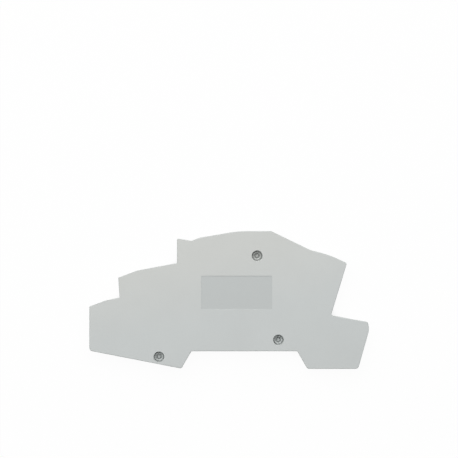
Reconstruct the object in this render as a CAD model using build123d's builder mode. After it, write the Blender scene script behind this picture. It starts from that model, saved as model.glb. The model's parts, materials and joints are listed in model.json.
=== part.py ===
from build123d import *
import os
from math import radians, tan

# End cover that closes the open side of the last block in a row of tiered rail-mounted
# terminal blocks. It is one moulding: a flat plate cut to the block's side profile, with
# three pegs on its back that press into the block's sockets. All lengths are millimetres
# and all angles degrees.
#
# The outline is drawn from the rail: X = 0 is the middle of the rail and Y = 0 the straight
# edge of the notch over it. The cover lies face up on its peg tips, which are at Z = 0.

# Plate
plate_thickness = 2.2
edge_round = 0.2
corner_round = 0.35

# Notch over the 35 mm rail, between the two feet
rail_width = 35.0
rail_clearance = 0.5
notch_flare = 30.0

# Left foot: a pointed heel whose underside rises towards the left edge
heel_depth = 5.9
heel_length = 31.3
heel_slope = 11.0
heel_tip_round = 0.8
heel_end_round = 1.2

# Wire-entry tiers on the left. Each roof has a steeper funnel and then a shallower part
funnel_slope = 20.5
roof_slope = 10.5
roof_break_round = 5.0
low_tier_wall = 15.0
low_funnel_length = 5.6
low_roof_length = 4.7
middle_tier_wall = 6.88
middle_wall_lean = 4.0
middle_funnel_length = 6.4
middle_roof_length = 13.6
high_tier_wall = 8.37
high_lip_length = 4.85
high_lip_slope = 9.0
high_funnel_length = 2.8
high_roof_length = 13.1
high_roof_slope = 9.7

# Crest over the middle
crest_length = 11.3
crest_start_round = 38.0
crest_end_round = 1.0

# Right foot: a blunt toe with a nose on its outer side
toe_depth = 6.0
toe_sole_length = 17.25
toe_side_lean = 15.8
toe_round = 1.2
nose_height = 7.65
nose_rise = 2.2
nose_round = 5.5
toe_top_length = 12.5
toe_top_slope = 10.4

# Long slanted wall above the toe, and the two-part shoulder over it
back_wall_height = 17.85
back_wall_lean = 17.0
back_corner_round = 0.8
shoulder_end_length = 6.0
shoulder_end_slope = 24.0
shoulder_tip_round = 0.7
shoulder_length = 6.55
shoulder_slope = 15.2
shoulder_round = 25.0

# Bare panel sunk into the face
panel_length = 24.1
panel_height = 11.45
panel_depth = 0.1
panel_left_of_rail = 2.6
panel_above_notch = 14.17
panel_corner_round = 0.3

# Pegs
peg_diameter = 4.2
peg_length = 3.0
peg_tip_chamfer = 0.5
peg_root_round = 0.2

# Pit that cores each peg from the face. Its floor has a raised ring round a deeper core, with
# a stub left standing in the middle. Every wall leans by the draft
peg_wall = 0.55
pit_draft = 6.0
pit_depth = 2.5
pit_rim_round = 0.1
ring_diameter = 2.7
ring_height = 0.3
core_diameter = 2.0
core_depth = 1.0
stub_diameter = 0.95
stub_height = 0.5

# Peg places: one behind the heel tip, one under the crest's right end and one beside the
# notch's right end. The walls are what is left between a pit and the plate's edge
heel_peg_back = 8.25
heel_peg_wall = 0.6
crest_peg_back = 4.8
crest_peg_down = 8.4
notch_peg_back = 6.4
notch_peg_wall = 2.0

back_level = peg_length
face_level = back_level + plate_thickness


def along(start, run, slope):
    """The point a horizontal run from start, on a line that climbs to the right at slope."""
    return start + Vector(run, run * tan(radians(slope)))


def above(start, rise, lean):
    """The point a vertical rise from start, on a line that leans to the right by lean."""
    return start + Vector(rise * tan(radians(lean)), rise)


# Outline corners up the left side, from the notch to the crest
notch_half = rail_width / 2 + rail_clearance
notch_left = Vector(-notch_half, 0)
heel_tip = above(notch_left, -heel_depth, notch_flare)
heel_end = along(heel_tip, -heel_length, -heel_slope)
low_corner = above(heel_end, low_tier_wall, 0)
low_break = along(low_corner, low_funnel_length, funnel_slope)
low_end = along(low_break, low_roof_length, roof_slope)
middle_corner = above(low_end, middle_tier_wall, -middle_wall_lean)
middle_break = along(middle_corner, middle_funnel_length, funnel_slope)
middle_end = along(middle_break, middle_roof_length, roof_slope)
high_corner = above(middle_end, high_tier_wall, 0)
high_dip = along(high_corner, high_lip_length, -high_lip_slope)
high_break = along(high_dip, high_funnel_length, funnel_slope)
crest_start = along(high_break, high_roof_length, high_roof_slope)
crest_end = along(crest_start, crest_length, 0)

# Outline corners up the right side, from the notch to the shoulder
notch_right = Vector(notch_half, 0)
toe_inner = above(notch_right, -toe_depth, -notch_flare)
toe_outer = along(toe_inner, toe_sole_length, 0)
nose = above(toe_outer, toe_depth + nose_height, toe_side_lean)
toe_top = above(nose, nose_rise, -toe_side_lean)
back_corner = along(toe_top, -toe_top_length, -toe_top_slope)
shoulder_corner = above(back_corner, back_wall_height, back_wall_lean)
shoulder_break = along(shoulder_corner, -shoulder_end_length, -shoulder_end_slope)
shoulder_start = along(shoulder_break, -shoulder_length, -shoulder_slope)

# Every outline corner clockwise from the notch's left end, with the radius that rounds it
outline_corners = [
    (notch_left, corner_round),
    (heel_tip, heel_tip_round),
    (heel_end, heel_end_round),
    (low_corner, corner_round),
    (low_break, roof_break_round),
    (low_end, corner_round),
    (middle_corner, corner_round),
    (middle_break, roof_break_round),
    (middle_end, corner_round),
    (high_corner, corner_round),
    (high_dip, corner_round),
    (high_break, roof_break_round),
    (crest_start, crest_start_round),
    (crest_end, crest_end_round),
    (shoulder_start, corner_round),
    (shoulder_break, shoulder_round),
    (shoulder_corner, shoulder_tip_round),
    (back_corner, back_corner_round),
    (toe_top, corner_round),
    (nose, nose_round),
    (toe_outer, toe_round),
    (toe_inner, toe_round),
    (notch_right, corner_round),
]

# Half profile of a pit: X is the distance from the peg's axis and Y the height over the face
pit_foot = Vector(peg_diameter / 2 - peg_wall, -pit_depth)
pit_rim = above(pit_foot, pit_depth, pit_draft)
ring_foot = Vector(ring_diameter / 2, -pit_depth)
ring_outer = above(ring_foot, ring_height, -pit_draft)
ring_inner = Vector(core_diameter / 2, ring_outer.Y)
core_foot = above(ring_inner, -core_depth, pit_draft)
stub_foot = Vector(stub_diameter / 2, core_foot.Y)
stub_top = above(stub_foot, stub_height, -pit_draft)

# Centre of each peg, and of the panel
pit_radius = pit_rim.X
heel_edge = Vector(-1, 0).rotate(Axis.Z, -heel_slope)
heel_inward = Vector(0, 1).rotate(Axis.Z, -heel_slope)
heel_peg = heel_tip + heel_edge * heel_peg_back + heel_inward * (heel_peg_wall + pit_radius)
crest_peg = crest_end + Vector(-crest_peg_back, -crest_peg_down)
notch_peg = notch_right + Vector(-notch_peg_back, notch_peg_wall + pit_radius)
peg_places = [heel_peg, crest_peg, notch_peg]
panel_centre = Vector(-panel_left_of_rail, panel_above_notch + panel_height / 2)

# Side profile of the block
with BuildSketch() as profile:
    with BuildLine():
        FilletPolyline(
            *[corner for corner, _ in outline_corners],
            radius=[radius for _, radius in outline_corners],
            close=True,
        )
    make_face()

profile_middle = profile.sketch.bounding_box().center()

# Space of one pit, with its axis on Z and its rim at Z = 0
with BuildPart() as pit:
    with BuildSketch(Plane.XZ):
        with BuildLine():
            Polyline(
                (0, 0),
                pit_rim,
                pit_foot,
                ring_foot,
                ring_outer,
                ring_inner,
                core_foot,
                stub_foot,
                stub_top,
                (0, stub_top.Y),
                close=True,
            )
        make_face()
    revolve(axis=Axis.Z)


def level(height):
    """The drawing plane at a height: its origin is at the rail, its Z axis out of the face.

    The planes are set so that the cover's own origin is under the middle of its profile.
    """
    return Plane((-profile_middle.X, -profile_middle.Y, height))


with BuildPart() as end_cover:
    # Plate, with its face rounded off all the way round
    with BuildSketch(level(back_level)):
        add(profile.sketch)
    extrude(amount=plate_thickness)
    fillet(faces().sort_by(Axis.Z)[-1].edges(), edge_round)

    # Pegs on the back, with a lead-in at the tip and a fillet at the root
    with BuildSketch(level(0)):
        with Locations(*peg_places):
            Circle(peg_diameter / 2)
    extrude(amount=peg_length)
    chamfer(edges().group_by(Axis.Z)[0], peg_tip_chamfer)
    back_face = faces().filter_by(Plane.XY).group_by(Axis.Z)[1].face()
    fillet(back_face.inner_wires().edges(), peg_root_round)

    # Pits that core the pegs from the face
    with Locations(level(face_level)):
        with Locations(*peg_places):
            add(pit.part, mode=Mode.SUBTRACT)
    fillet(edges(Select.LAST).group_by(Axis.Z)[-1], pit_rim_round)

    # Bare panel, sunk a little below the face
    with BuildSketch(level(face_level)):
        with Locations(panel_centre):
            RectangleRounded(panel_length, panel_height, panel_corner_round)
    extrude(amount=-panel_depth, mode=Mode.SUBTRACT)

end_cover.part.label = "end_cover"

os.makedirs("parts", exist_ok=True)
export_step(end_cover.part, "parts/end_cover.step")
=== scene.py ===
"""Looks of a terminal block end cover, lying face up in soft studio light.

The cover's shape comes from the shared frame and stays as it is. This script gives it its
material, lays it on a ground, lights it and places the camera.
"""

from __future__ import annotations

import json
import logging
import math
from collections.abc import Sequence
from dataclasses import dataclass
from enum import Enum
from typing import Any

import bmesh
import bpy
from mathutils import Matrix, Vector


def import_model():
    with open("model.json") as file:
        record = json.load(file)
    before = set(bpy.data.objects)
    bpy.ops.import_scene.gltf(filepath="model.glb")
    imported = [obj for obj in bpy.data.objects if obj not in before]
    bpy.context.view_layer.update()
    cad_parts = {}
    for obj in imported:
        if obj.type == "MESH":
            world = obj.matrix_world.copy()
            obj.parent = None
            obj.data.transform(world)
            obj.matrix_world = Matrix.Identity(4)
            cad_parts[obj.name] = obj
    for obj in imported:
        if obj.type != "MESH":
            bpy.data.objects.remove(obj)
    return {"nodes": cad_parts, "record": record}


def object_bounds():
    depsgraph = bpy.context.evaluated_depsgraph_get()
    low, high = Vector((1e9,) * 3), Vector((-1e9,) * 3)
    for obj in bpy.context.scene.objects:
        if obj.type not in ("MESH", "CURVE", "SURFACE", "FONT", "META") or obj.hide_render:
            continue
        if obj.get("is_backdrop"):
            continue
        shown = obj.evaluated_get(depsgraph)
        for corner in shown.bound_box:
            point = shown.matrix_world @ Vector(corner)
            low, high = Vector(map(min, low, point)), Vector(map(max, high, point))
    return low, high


LOG = logging.getLogger("end_cover")
MM = 0.001

# The sRGB curve: a straight line up to the knee, and a power of the shifted value above it
SRGB_KNEE = 0.04045
SRGB_SLOPE = 12.92
SRGB_SHIFT = 0.055
SRGB_POWER = 2.4

# Nearly all values of a noise texture lie between these two
NOISE_LOW = 0.3
NOISE_HIGH = 0.7

Colour = tuple[float, float, float, float]
Socket = bpy.types.NodeSocket
Tree = bpy.types.NodeTree


class Tint(Enum):
    """Colours of the cover and its surroundings, as sRGB hex values."""

    # The warm plate tint is a little brighter than the cool one: painted light for the lamp's
    # fall-off.
    PLATE_WARM_LIT = "#C8CAC7"
    PLATE_COOL_DIM = "#C5C9C8"
    PANEL = "#B9BDBC"
    # Painted shade: the darker grey laid in patches on the rounded edges.
    EDGE_SHADE = "#AAAFAD"
    GROUND = "#F4F4F4"
    WHITE = "#FFFFFF"


def linear(tint: Tint) -> Colour:
    """Turn an sRGB hex colour into the linear colour that a socket takes.

    Args:
        tint: The colour to turn.

    Returns:
        Red, green, blue and alpha, each from 0 to 1.
    """
    digits = tint.value.lstrip("#")
    channels = [int(digits[place : place + 2], 16) / 255 for place in (0, 2, 4)]
    red, green, blue = (
        value / SRGB_SLOPE
        if value <= SRGB_KNEE
        else ((value + SRGB_SHIFT) / (1 + SRGB_SHIFT)) ** SRGB_POWER
        for value in channels
    )
    return red, green, blue, 1.0


def grey(level: float) -> Colour:
    """Give the linear grey of a level, where 1 is white."""
    return level, level, level, 1.0


def add_node(
    tree: Tree,
    kind: str,
    settings: dict[str, Any] | None = None,
    inputs: dict[str | int, Any] | None = None,
    stops: Sequence[tuple[float, Colour]] = (),
) -> bpy.types.Node:
    """Add one node with its settings, and set or link its inputs.

    Args:
        tree: Node tree that takes the node.
        kind: Blender's type name of the node.
        settings: Attribute names of the node and their values.
        inputs: Input names or places, each with a value or with the output socket to link.
        stops: Places and colours of a ramp's stops, in order.

    Returns:
        The new node.
    """
    node = tree.nodes.new(kind)
    for name, value in (settings or {}).items():
        setattr(node, name, value)
    for name, value in (inputs or {}).items():
        socket = node.inputs[name]
        if isinstance(value, Socket):
            tree.links.new(value, socket)
        else:
            socket.default_value = value
    for index, (position, colour) in enumerate(stops):
        elements = node.color_ramp.elements
        stop = elements[index] if index < len(elements) else elements.new(position)
        stop.position, stop.color = position, colour
    return node


def seen_directly(tree: Tree) -> Socket:
    """Make a mask that is 1 for camera, glossy and transmission rays.

    Args:
        tree: Node tree that takes the nodes.

    Returns:
        The mask's socket.
    """
    path = add_node(tree, "ShaderNodeLightPath")
    mask = path.outputs["Is Camera Ray"]
    for ray in ("Is Glossy Ray", "Is Transmission Ray"):
        mask = add_node(
            tree,
            "ShaderNodeMath",
            {"operation": "MAXIMUM"},
            {0: mask, 1: path.outputs[ray]},
        ).outputs["Value"]
    return mask


@dataclass(frozen=True)
class Surface:
    """A material's node tree, with where a point of the cover lies and how it faces.

    The place is in the object's own coordinates, in millimetres. The levelness is 1 on level
    faces and 0 on upright walls.
    """

    tree: Tree
    place: Socket
    levelness: Socket

    @classmethod
    def of(cls, tree: Tree) -> Surface:
        """Add the nodes that give the place and the levelness.

        Args:
            tree: Node tree of the material.

        Returns:
            The surface that the patterns are drawn on.
        """
        source = add_node(tree, "ShaderNodeTexCoord")
        place = add_node(
            tree,
            "ShaderNodeVectorMath",
            {"operation": "SCALE"},
            {"Vector": source.outputs["Object"], "Scale": 1 / MM},
        )
        normal = add_node(
            tree, "ShaderNodeSeparateXYZ", {}, {"Vector": source.outputs["Normal"]}
        )
        levelness = add_node(
            tree, "ShaderNodeMath", {"operation": "ABSOLUTE"}, {0: normal.outputs["Z"]}
        )
        return cls(tree, place.outputs["Vector"], levelness.outputs["Value"])


@dataclass(frozen=True)
class PanelFloor:
    """The level floor of the sunk panel.

    The lowest and highest corner are in metres. The tolerance is how far a point may lie
    above or below the floor and still be on it.
    """

    low: Vector
    high: Vector
    depth_tolerance_mm: float = 0.04

    def mask(self, surface: Surface) -> Socket:
        """Make a mask that is 1 on the floor and 0 elsewhere.

        Args:
            surface: Where the mask is drawn.

        Returns:
            The mask's socket.
        """
        tree = surface.tree
        middle = (self.low + self.high) / 2
        half = (self.high - self.low) / 2
        offset = add_node(
            tree,
            "ShaderNodeVectorMath",
            {"operation": "SUBTRACT"},
            {0: surface.place, 1: middle / MM},
        )
        distance = add_node(
            tree,
            "ShaderNodeVectorMath",
            {"operation": "ABSOLUTE"},
            {0: offset.outputs["Vector"]},
        )
        axes = add_node(
            tree, "ShaderNodeSeparateXYZ", {}, {"Vector": distance.outputs["Vector"]}
        )
        limits = {"X": half.x / MM, "Y": half.y / MM, "Z": self.depth_tolerance_mm}
        insides = [
            add_node(
                tree,
                "ShaderNodeMath",
                {"operation": "LESS_THAN"},
                {0: axes.outputs[axis], 1: limit},
            ).outputs["Value"]
            for axis, limit in limits.items()
        ]
        mask = insides[0]
        for inside in insides[1:]:
            mask = add_node(
                tree, "ShaderNodeMath", {"operation": "MULTIPLY"}, {0: mask, 1: inside}
            ).outputs["Value"]
        return mask


@dataclass(frozen=True)
class TintAndLightDrift:
    """Drift of the plate's colour from cool to warm across the face, partly painted light.

    The warm side's direction is in degrees, from the +Y axis towards +X. The colour is
    coolest up to one distance along it from the cover's middle, and warmest from another.
    The warm end is also a little brighter: painted light standing in for the lamp's light
    falling off across the face.
    """

    warm_side: float = -12.0
    coolest_to_mm: float = -6.0
    warmest_from_mm: float = 16.0

    def colour(self, surface: Surface) -> Socket:
        """Make the plastic's drifting colour, with its painted light.

        Args:
            surface: Where the colour is drawn.

        Returns:
            The colour's socket.
        """
        lean = math.radians(self.warm_side)
        towards_warm = add_node(
            surface.tree,
            "ShaderNodeVectorMath",
            {"operation": "DOT_PRODUCT"},
            {0: surface.place, 1: (math.sin(lean), math.cos(lean), 0)},
        )
        warmth = add_node(
            surface.tree,
            "ShaderNodeMapRange",
            {},
            {
                "Value": towards_warm.outputs["Value"],
                "From Min": self.coolest_to_mm,
                "From Max": self.warmest_from_mm,
            },
        )
        # Painted light: the mix brightens a little towards the warm side.
        return add_node(
            surface.tree,
            "ShaderNodeMix",
            {"data_type": "RGBA"},
            {
                0: warmth.outputs["Result"],
                6: linear(Tint.PLATE_COOL_DIM),
                7: linear(Tint.PLATE_WARM_LIT),
            },
        ).outputs[2]


@dataclass(frozen=True)
class FlowClouds:
    """Faint clouds that the flowing melt left.

    The depth is the share of its brightness that the plastic loses in the darkest cloud.
    The pattern is a place on the noise's fourth axis, and each place has other clouds.
    """

    width_mm: float = 14.0
    depth: float = 0.032
    detail: float = 2.0
    pattern: float = 20.0

    def over(self, surface: Surface, colour: Socket) -> Socket:
        """Cloud a colour.

        Args:
            surface: Where the clouds are drawn.
            colour: The plain colour.

        Returns:
            The clouded colour's socket.
        """
        flow = add_node(
            surface.tree,
            "ShaderNodeTexNoise",
            {"noise_dimensions": "4D"},
            {
                "Vector": surface.place,
                "W": self.pattern,
                "Scale": 1 / self.width_mm,
                "Detail": self.detail,
            },
        )
        cloud = add_node(
            surface.tree,
            "ShaderNodeMapRange",
            {},
            {
                "Value": flow.outputs["Fac"],
                "From Min": NOISE_LOW,
                "From Max": NOISE_HIGH,
                "To Min": 1 - self.depth,
                "To Max": 1.0,
            },
        )
        return add_node(
            surface.tree,
            "ShaderNodeMix",
            {"data_type": "RGBA", "blend_type": "MULTIPLY"},
            {0: 1.0, 6: colour, 7: cloud.outputs["Result"]},
        ).outputs[2]


@dataclass(frozen=True)
class ErodedGrain:
    """Fine matt grain of the eroded mould, with no direction and lower on the panel.

    The real grain is about 0.05 mm wide and a few thousandths high, too fine to show, so it
    is drawn eight times as wide and as high. The harshness is the strength of its finer
    detail.
    """

    width_mm: float = 0.40
    height_mm: float = 0.025
    panel_share: float = 0.35
    detail: float = 4.0
    harshness: float = 0.65

    def pattern(self, surface: Surface) -> Socket:
        """Make the grain.

        Args:
            surface: Where the grain is drawn.

        Returns:
            The grain's socket, from 0 in its hollows to 1 on its peaks.
        """
        return add_node(
            surface.tree,
            "ShaderNodeTexNoise",
            {},
            {
                "Vector": surface.place,
                "Scale": 1 / self.width_mm,
                "Detail": self.detail,
                "Roughness": self.harshness,
            },
        ).outputs["Fac"]

    def relief(self, surface: Surface, grain: Socket, on_panel: Socket) -> Socket:
        """Give the grain its height.

        Args:
            surface: Where the grain is drawn.
            grain: The grain's pattern.
            on_panel: 1 on the panel's floor.

        Returns:
            The relief's socket, in millimetres.
        """
        height = add_node(
            surface.tree,
            "ShaderNodeMapRange",
            {},
            {
                "Value": on_panel,
                "To Min": self.height_mm,
                "To Max": self.height_mm * self.panel_share,
            },
        )
        return add_node(
            surface.tree,
            "ShaderNodeMath",
            {"operation": "MULTIPLY"},
            {0: grain, 1: height.outputs["Result"]},
        ).outputs["Value"]


@dataclass(frozen=True)
class DrawLines:
    """Fine upright lines on the walls, from sliding out of the mould.

    Real ones are a few hundredths of a millimetre wide, too fine to show, so they are drawn
    wider. The stretch is how many times longer than wide they are. They have their full
    height below one levelness and are gone above another.
    """

    width_mm: float = 0.6
    stretch: float = 14.0
    height_mm: float = 0.010
    detail: float = 2.0
    full_below: float = 0.1
    none_above: float = 0.4

    def over(self, surface: Surface, relief: Socket) -> Socket:
        """Add the lines to a relief.

        Args:
            surface: Where the lines are drawn.
            relief: The relief under them, in millimetres.

        Returns:
            The new relief's socket, in millimetres.
        """
        stretched = add_node(
            surface.tree,
            "ShaderNodeVectorMath",
            {"operation": "MULTIPLY"},
            {0: surface.place, 1: (1, 1, 1 / self.stretch)},
        )
        lines = add_node(
            surface.tree,
            "ShaderNodeTexNoise",
            {},
            {
                "Vector": stretched.outputs["Vector"],
                "Scale": 1 / self.width_mm,
                "Detail": self.detail,
            },
        )
        height = add_node(
            surface.tree,
            "ShaderNodeMapRange",
            {},
            {
                "Value": surface.levelness,
                "From Min": self.full_below,
                "From Max": self.none_above,
                "To Min": self.height_mm,
                "To Max": 0.0,
            },
        )
        return add_node(
            surface.tree,
            "ShaderNodeMath",
            {"operation": "MULTIPLY_ADD"},
            {0: lines.outputs["Fac"], 1: height.outputs["Result"], 2: relief},
        ).outputs["Value"]


@dataclass(frozen=True)
class EdgeShadeAndPolish:
    """Painted shade on the rounded edges: a darker grey in patches, and a little polish.

    An edge is where the levelness is within a reach of that of a slope. The painted shade's
    strength changes in patches: it is least where their noise is thin and greatest where it is
    thick.
    """

    slope: float = 0.55
    slope_reach: float = 0.4
    patch_mm: float = 5.0
    patch_detail: float = 3.0
    thin_below: float = 0.4
    thick_above: float = 0.62
    least: float = 0.55
    greatest: float = 0.9
    roughness: float = 0.42

    def mask(self, surface: Surface) -> Socket:
        """Make the mask of the painted shade and the polish on the edges.

        Args:
            surface: Where the mask is drawn.

        Returns:
            The socket of the mask's strength, which is 0 away from the edges.
        """
        band = add_node(
            surface.tree,
            "ShaderNodeMath",
            {"operation": "COMPARE"},
            {0: surface.levelness, 1: self.slope, 2: self.slope_reach},
        )
        patches = add_node(
            surface.tree,
            "ShaderNodeTexNoise",
            {},
            {
                "Vector": surface.place,
                "Scale": 1 / self.patch_mm,
                "Detail": self.patch_detail,
            },
        )
        strength = add_node(
            surface.tree,
            "ShaderNodeMapRange",
            {},
            {
                "Value": patches.outputs["Fac"],
                "From Min": self.thin_below,
                "From Max": self.thick_above,
                "To Min": self.least,
                "To Max": self.greatest,
            },
        )
        return add_node(
            surface.tree,
            "ShaderNodeMath",
            {"operation": "MULTIPLY"},
            {0: band.outputs["Value"], 1: strength.outputs["Result"]},
        ).outputs["Value"]


@dataclass(frozen=True)
class PitShadeAndHighlight:
    """Painted shade in the grooves of a pit, and painted highlight on the tops of its steps.

    The ramp darkens the grooves and paints the tops of the stub and the ring paler than the
    plastic, so the steps of a pit read as rings. Lengths are in millimetres and, apart from the
    lowest, distances from the pit's axis. The lowest is a height over the ground, under which
    nothing is painted. The levels multiply the plastic's colour.
    """

    stub: float = 0.40
    core: float = 0.66
    ring_inner: float = 0.96
    ring_outer: float = 1.42
    foot: float = 1.54
    rim: float = 1.80
    reach: float = 2.0
    lowest: float = 1.5
    top_level: float = 1.20
    core_level: float = 0.54
    foot_level: float = 0.66

    def stops(self) -> list[tuple[float, Colour]]:
        """List the ramp's stops from the axis outward.

        Returns:
            The places, as shares of the reach, and the colours.
        """
        levels = [
            (self.stub, self.top_level),
            (self.core, self.core_level),
            (self.ring_inner, self.top_level),
            (self.ring_outer, self.top_level),
            (self.foot, self.foot_level),
            (self.rim, 1.0),
        ]
        return [(radius / self.reach, grey(level)) for radius, level in levels]

    def over(self, surface: Surface, colour: Socket, pit_axes: list[Vector]) -> Socket:
        """Paint shade into a colour in the pits' grooves, and highlight on the tops of their
        steps.

        Args:
            surface: Where the film is drawn.
            colour: The clean plastic's colour.
            pit_axes: A point on the axis of each pit, in metres.

        Returns:
            The new colour's socket.
        """
        tree = surface.tree
        level = add_node(
            tree,
            "ShaderNodeVectorMath",
            {"operation": "MULTIPLY"},
            {0: surface.place, 1: (1, 1, 0)},
        )
        distances = [
            add_node(
                tree,
                "ShaderNodeVectorMath",
                {"operation": "DISTANCE"},
                {0: level.outputs["Vector"], 1: (axis.x / MM, axis.y / MM, 0)},
            ).outputs["Value"]
            for axis in pit_axes
        ]
        nearest = distances[0]
        for distance in distances[1:]:
            nearest = add_node(
                tree,
                "ShaderNodeMath",
                {"operation": "MINIMUM"},
                {0: nearest, 1: distance},
            ).outputs["Value"]
        share = add_node(
            tree, "ShaderNodeMath", {"operation": "DIVIDE"}, {0: nearest, 1: self.reach}
        )
        # Painted shade in the grooves and painted highlight on the tops, by distance from the
        # axis.
        pit_shade_and_highlight = add_node(
            tree, "ShaderNodeValToRGB", {}, {"Fac": share.outputs["Value"]}, self.stops()
        )
        axes = add_node(tree, "ShaderNodeSeparateXYZ", {}, {"Vector": surface.place})
        inside = add_node(
            tree,
            "ShaderNodeMath",
            {"operation": "GREATER_THAN"},
            {0: axes.outputs["Z"], 1: self.lowest},
        )
        return add_node(
            tree,
            "ShaderNodeMix",
            {"data_type": "RGBA", "blend_type": "MULTIPLY"},
            {0: inside.outputs["Value"], 6: colour, 7: pit_shade_and_highlight.outputs["Color"]},
        ).outputs[2]


@dataclass(frozen=True)
class MouldedPolyamide:
    """Light grey polyamide 6.6 from a spark-eroded mould.

    The eroded steel leaves a fine matt grain with no direction, so the face looks soft and
    even, with a faint cloudiness where the melt flowed. The colour drifts from cool to warm,
    and the warm side is painted a little brighter, as painted light for the lamp's fall-off.
    The panel comes from a smoother insert and looks duller from straight ahead. The rounded
    edges carry painted shade, a darker grey in patches, and are a little polished. The pits
    carry painted shade in their grooves and painted highlight on the tops of their steps, and
    the walls carry fine lines from sliding out of the mould.
    """

    name: str = "moulded_polyamide"
    ior: float = 1.53
    roughness: float = 0.56
    roughness_spread: float = 0.10
    panel_roughness: float = 0.44
    tint_and_light_drift: TintAndLightDrift = TintAndLightDrift()
    clouds: FlowClouds = FlowClouds()
    grain: ErodedGrain = ErodedGrain()
    lines: DrawLines = DrawLines()
    edges: EdgeShadeAndPolish = EdgeShadeAndPolish()
    pit_shade_and_highlight: PitShadeAndHighlight = PitShadeAndHighlight()

    def build(self, panel: PanelFloor, pit_axes: list[Vector]) -> bpy.types.Material:
        """Make the material.

        Args:
            panel: Floor of the sunk panel, which has a finish of its own.
            pit_axes: A point on the axis of each pit, in metres.

        Returns:
            The finished material.
        """
        material = bpy.data.materials.new(self.name)
        material.use_nodes = True
        tree = material.node_tree
        tree.nodes.clear()
        surface = Surface.of(tree)
        grain = self.grain.pattern(surface)
        on_panel = panel.mask(surface)
        # Painted shade, and a little polish, on the rounded edges.
        edge_shade_and_polish = self.edges.mask(surface)
        relief = self.lines.over(surface, self.grain.relief(surface, grain, on_panel))
        bump = add_node(
            tree, "ShaderNodeBump", {}, {"Strength": 1.0, "Distance": MM, "Height": relief}
        )
        plastic = self._colour(surface, on_panel, edge_shade_and_polish)
        shader = add_node(
            tree,
            "ShaderNodeBsdfPrincipled",
            {},
            {
                # Base colour with painted shade and painted highlight in the pits.
                "Base Color": self.pit_shade_and_highlight.over(surface, plastic, pit_axes),
                "Roughness": self._roughness(surface, grain, on_panel, edge_shade_and_polish),
                "IOR": self.ior,
                "Normal": bump.outputs["Normal"],
            },
        )
        add_node(
            tree, "ShaderNodeOutputMaterial", {}, {"Surface": shader.outputs["BSDF"]}
        )
        return material

    def _colour(self, surface: Surface, on_panel: Socket, edge_shade_and_polish: Socket) -> Socket:
        """Make the plastic's colour: drifting, clouded, duller on the panel and darker on the
        edges.

        The drift carries a little painted light, and the darker edges are painted shade.

        Args:
            surface: Where the colour is drawn.
            on_panel: 1 on the panel's floor.
            edge_shade_and_polish: Strength of the painted shade and polish on the edges.

        Returns:
            The colour's socket.
        """
        colour = self.clouds.over(surface, self.tint_and_light_drift.colour(surface))
        # The panel's tint is its own colour; the edge tint is painted shade.
        for mask, tint in ((on_panel, Tint.PANEL), (edge_shade_and_polish, Tint.EDGE_SHADE)):
            colour = add_node(
                surface.tree,
                "ShaderNodeMix",
                {"data_type": "RGBA"},
                {0: mask, 6: colour, 7: linear(tint)},
            ).outputs[2]
        return colour

    def _roughness(
        self, surface: Surface, grain: Socket, on_panel: Socket, edge_shade_and_polish: Socket
    ) -> Socket:
        """Make the roughness: it follows the grain, and is lower where steel or hands polish.

        Args:
            surface: Where the roughness is drawn.
            grain: The eroded grain.
            on_panel: 1 on the panel's floor.
            edge_shade_and_polish: Strength of the painted shade and polish on the edges.

        Returns:
            The roughness's socket.
        """
        rough = add_node(
            surface.tree,
            "ShaderNodeMapRange",
            {},
            {
                "Value": grain,
                "From Min": NOISE_LOW,
                "From Max": NOISE_HIGH,
                "To Min": self.roughness - self.roughness_spread / 2,
                "To Max": self.roughness + self.roughness_spread / 2,
            },
        ).outputs["Result"]
        for mask, level in (
            (on_panel, self.panel_roughness),
            (edge_shade_and_polish, self.edges.roughness),
        ):
            rough = add_node(
                surface.tree,
                "ShaderNodeMix",
                {"data_type": "FLOAT"},
                {"Factor": mask, "A": rough, "B": level},
            ).outputs[0]
        return rough


@dataclass
class EndCover:
    """The moulded cover: one piece, with its pegs, pits and panel.

    The panel's floor is told from the face by how far it lies below the top, in metres, and
    from the panel's edges by its normal.
    """

    node: bpy.types.Object
    pit_axes: list[Vector]
    shallowest_panel: float = 0.04 * MM
    deepest_panel: float = 0.5 * MM
    level_normal: float = 0.999
    finish: MouldedPolyamide = MouldedPolyamide()

    def panel(self) -> PanelFloor:
        """Find the sunk panel: the level face that lies just below the top.

        Returns:
            The panel's floor.
        """
        mesh = self.node.data
        top = max(vertex.co.z for vertex in mesh.vertices)
        corners = [
            mesh.vertices[index].co
            for face in mesh.polygons
            if face.normal.z > self.level_normal
            and self.shallowest_panel < top - face.center.z < self.deepest_panel
            for index in face.vertices
        ]
        low, high = (
            Vector([pick(corner[axis] for corner in corners) for axis in range(3)])
            for pick in (min, max)
        )
        return PanelFloor(low, high)

    def dress(self) -> bpy.types.Object:
        """Give the solid its finish.

        Returns:
            The dressed object.
        """
        material = self.finish.build(self.panel(), self.pit_axes)
        for slot in self.node.material_slots:
            slot.material = material
        return self.node


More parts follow.
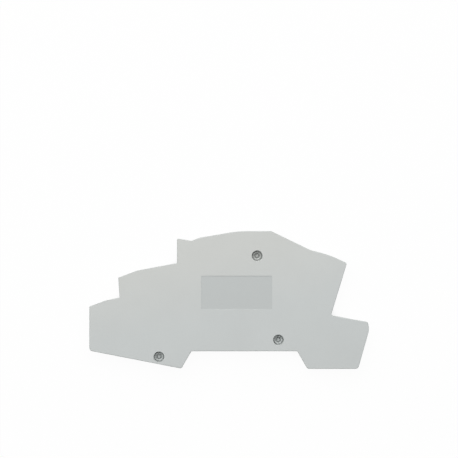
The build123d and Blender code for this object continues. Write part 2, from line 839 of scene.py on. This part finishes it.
@dataclass(frozen=True)
class MattPaper:
    """Matt white paper that the camera and reflections see as nearly pure white.

    In the open it has only a trace of the cover's shadow. Under the cover, where it is
    sheltered, over half of the shadow shows. The two whites are the shares of pure white in
    what is seen, in the open and under the cover. The reach of the shelter is in metres, and
    the open shares say how much of the sky a spot still sees.
    """

    name: str = "matt_white_paper"
    roughness: float = 1.0
    open_white: float = 0.96
    sheltered_white: float = 0.45
    shelter_reach: float = 0.006
    shelter_samples: int = 16
    least_open: float = 0.25
    most_open: float = 0.55

    def build(self) -> bpy.types.Material:
        """Make the material.

        Returns:
            The finished material.
        """
        material = bpy.data.materials.new(self.name)
        material.use_nodes = True
        tree = material.node_tree
        tree.nodes.clear()
        paper = add_node(
            tree,
            "ShaderNodeBsdfDiffuse",
            {},
            {"Color": linear(Tint.GROUND), "Roughness": self.roughness},
        )
        white = add_node(
            tree, "ShaderNodeEmission", {}, {"Color": linear(Tint.WHITE), "Strength": 1.0}
        )
        openness = add_node(
            tree,
            "ShaderNodeAmbientOcclusion",
            {"samples": self.shelter_samples},
            {"Distance": self.shelter_reach},
        )
        whiteness = add_node(
            tree,
            "ShaderNodeMapRange",
            {},
            {
                "Value": openness.outputs["AO"],
                "From Min": self.least_open,
                "From Max": self.most_open,
                "To Min": self.sheltered_white,
                "To Max": self.open_white,
            },
        )
        share = add_node(
            tree,
            "ShaderNodeMath",
            {"operation": "MULTIPLY"},
            {0: seen_directly(tree), 1: whiteness.outputs["Result"]},
        )
        mixed = add_node(
            tree,
            "ShaderNodeMixShader",
            {},
            {0: share.outputs["Value"], 1: paper.outputs["BSDF"], 2: white.outputs["Emission"]},
        )
        add_node(
            tree, "ShaderNodeOutputMaterial", {}, {"Surface": mixed.outputs["Shader"]}
        )
        return material


@dataclass
class Ground:
    """Plain white surface that the cover lies on, a square with its side in metres."""

    side: float = 6.0
    finish: MattPaper = MattPaper()

    def build(self) -> bpy.types.Object:
        """Make the ground.

        Returns:
            The ground's object.
        """
        mesh = bpy.data.meshes.new("ground")
        shape = bmesh.new()
        bmesh.ops.create_grid(shape, x_segments=1, y_segments=1, size=self.side / 2)
        shape.to_mesh(mesh)
        shape.free()
        ground = bpy.data.objects.new("ground", mesh)
        bpy.context.scene.collection.objects.link(ground)
        mesh.materials.append(self.finish.build())
        ground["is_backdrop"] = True
        return ground


@dataclass(frozen=True)
class Softbox:
    """A large square lamp that faces the cover.

    Angles are in degrees, the azimuth from the +Y axis towards +X, and lengths in metres.
    The brightness is the power of each square metre, in watts, divided by pi.
    """

    name: str
    azimuth: float
    elevation: float
    distance: float
    size: float
    brightness: float

    def build(self, target: Vector) -> bpy.types.Object:
        """Make the lamp.

        Args:
            target: Point that the lamp faces.

        Returns:
            The lamp's object.
        """
        azimuth, elevation = math.radians(self.azimuth), math.radians(self.elevation)
        towards = Vector(
            (
                math.sin(azimuth) * math.cos(elevation),
                math.cos(azimuth) * math.cos(elevation),
                math.sin(elevation),
            )
        )
        data = bpy.data.lights.new(self.name, "AREA")
        data.shape = "SQUARE"
        data.size = self.size
        data.energy = self.brightness * math.pi * self.size**2
        lamp = bpy.data.objects.new(self.name, data)
        lamp.location = target + towards * self.distance
        lamp.rotation_euler = towards.to_track_quat("Z", "Y").to_euler()
        bpy.context.scene.collection.objects.link(lamp)
        return lamp


@dataclass
class Studio:
    """Wide soft light from beyond the photograph's top edge, and a white surround.

    The surround lights the cover with a share of the white that the camera sees.
    """

    key: Softbox = Softbox(
        name="key_softbox",
        azimuth=-13.0,
        elevation=48.0,
        distance=0.7,
        size=1.2,
        brightness=2.215,
    )
    surround: float = 0.15

    def build(self, target: Vector) -> bpy.types.Object:
        """Make the lamp and the surround.

        Args:
            target: Point that the lamp faces.

        Returns:
            The lamp's object.
        """
        world = bpy.data.worlds.new("studio")
        bpy.context.scene.world = world
        world.use_nodes = True
        tree = world.node_tree
        tree.nodes.clear()
        strength = add_node(
            tree,
            "ShaderNodeMapRange",
            {},
            {"Value": seen_directly(tree), "To Min": self.surround, "To Max": 1.0},
        )
        background = add_node(
            tree,
            "ShaderNodeBackground",
            {},
            {"Color": linear(Tint.WHITE), "Strength": strength.outputs["Result"]},
        )
        add_node(
            tree, "ShaderNodeOutputWorld", {}, {"Surface": background.outputs["Background"]}
        )
        return self.key.build(target)


@dataclass(frozen=True)
class PhotoCamera:
    """Long lens that looks straight down on the face, as the photograph does.

    The photograph is a square of so many pixels, and the middle of the cover is at a pixel
    of it, counted from its top left corner. The distance to the face and the nearest thing
    that is drawn are in metres.
    """

    frame_px: int = 458
    cover_px: tuple[float, float] = (229.1, 300.0)
    mm_per_px: float = 0.34
    distance: float = 0.6
    sensor_mm: float = 36.0
    clip_start: float = 0.01

    def build(self, face_level: float) -> bpy.types.Object:
        """Make the camera and look through it.

        Args:
            face_level: Height of the cover's face.

        Returns:
            The camera's object.
        """
        view_width = self.frame_px * self.mm_per_px * MM
        data = bpy.data.cameras.new("photo_camera")
        data.sensor_width = self.sensor_mm
        data.lens = self.sensor_mm * self.distance / view_width
        data.clip_start = self.clip_start
        camera = bpy.data.objects.new("photo_camera", data)
        across = (self.frame_px / 2 - self.cover_px[0]) * self.mm_per_px * MM
        along = (self.cover_px[1] - self.frame_px / 2) * self.mm_per_px * MM
        camera.location = (across, along, face_level + self.distance)
        bpy.context.scene.collection.objects.link(camera)
        bpy.context.scene.camera = camera
        return camera


def plain_bounds() -> list[list[float]]:
    """Give the lowest and highest corner of what is shown, as plain lists."""
    return [list(corner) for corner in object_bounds()]


def main() -> None:
    """Dress the cover, lay it on the ground, light it and place the camera."""
    logging.basicConfig(level=logging.INFO, format="%(name)s: %(message)s")
    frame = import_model()
    cad_bounds = plain_bounds()
    low, high = (Vector(corner) for corner in cad_bounds)
    face_middle = Vector(((low.x + high.x) / 2, (low.y + high.y) / 2, high.z))
    pit_axes = [
        Vector(mount["pos_m"])
        for mount in frame["record"]["mounts"]
        if mount["kind"] == "pin"
    ]
    cover = EndCover(frame["nodes"]["end_cover"], pit_axes).dress()
    LOG.info("dressed %s, with %d pits", cover.name, len(pit_axes))
    LOG.info("laid %s", Ground().build().name)
    LOG.info("hung %s", Studio().build(face_middle).name)
    LOG.info("placed %s", PhotoCamera().build(high.z).name)
    bpy.context.scene.view_settings.view_transform = "Standard"


if __name__ == "__main__":
    main()
